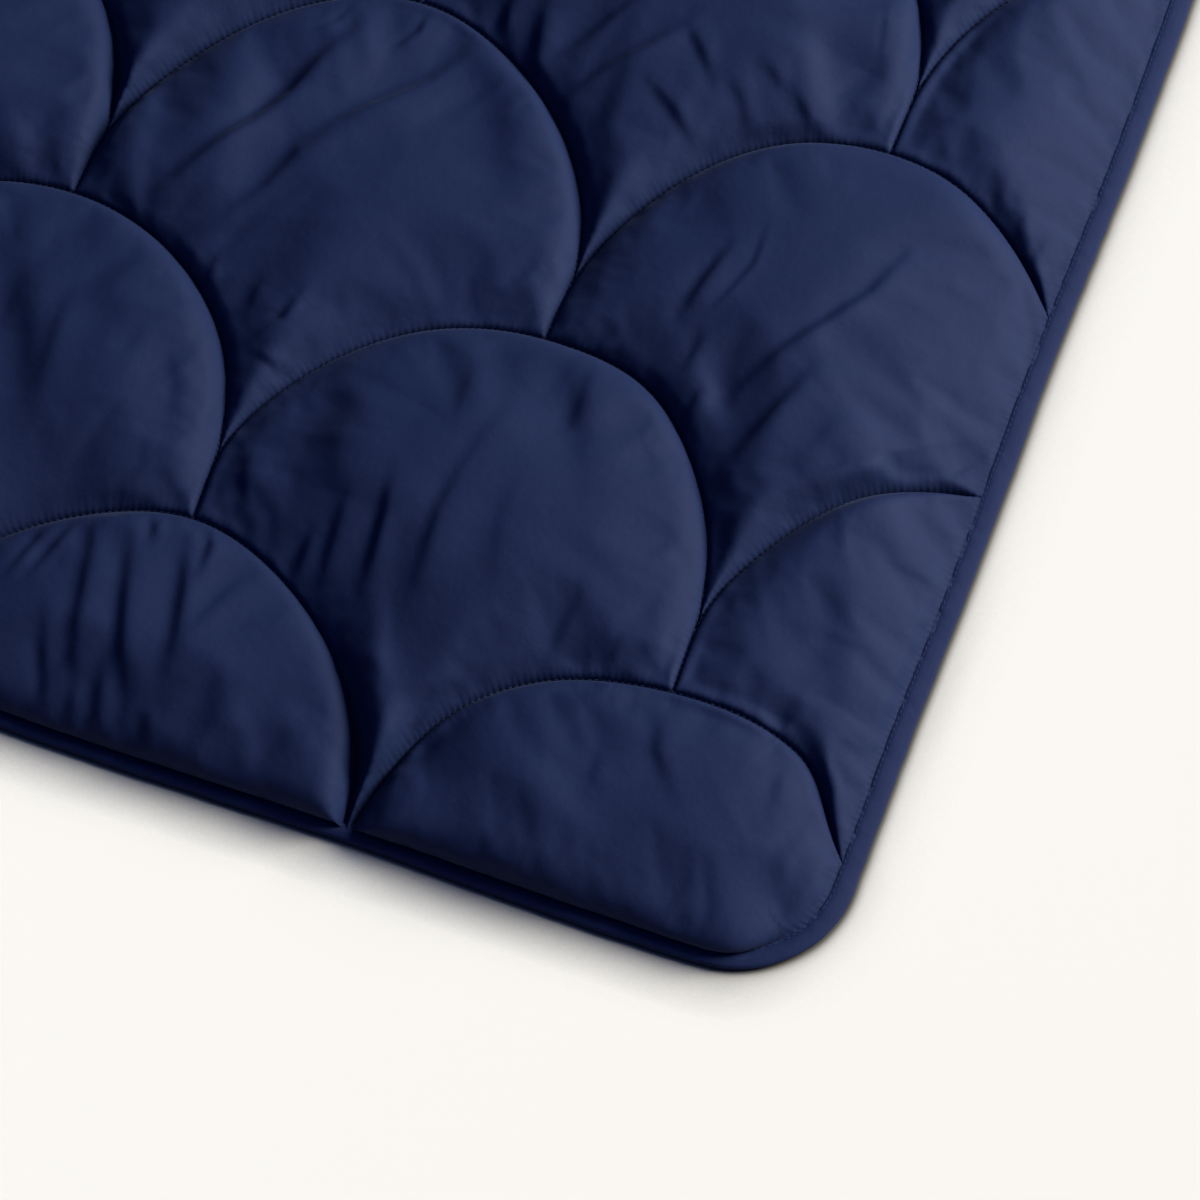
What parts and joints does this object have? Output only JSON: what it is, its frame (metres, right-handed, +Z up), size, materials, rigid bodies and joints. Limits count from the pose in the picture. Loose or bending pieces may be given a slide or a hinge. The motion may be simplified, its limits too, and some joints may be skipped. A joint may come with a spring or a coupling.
{
  "type": "duvet",
  "caption": "Single duvet laid flat: filled body sewn in rows of overlapping scallops, rounded corners, and a folded binding sewn round its edge.",
  "frame": {"origin": "on the surface that the duvet lies on, under the middle of the duvet", "axes": "+X across the width, +Y along the length to the head end, +Z up through the thickness"},
  "size_m": [1.35, 2, 0.0386],
  "materials": {
    "cover": "fine smooth cotton weave with a soft sheen, navy",
    "binding": "folded strip of the same navy cotton"
  },
  "bodies": {
    "root": {"duvet_body": "cover", "edge_binding": "binding"}
  },
  "joints": []
}
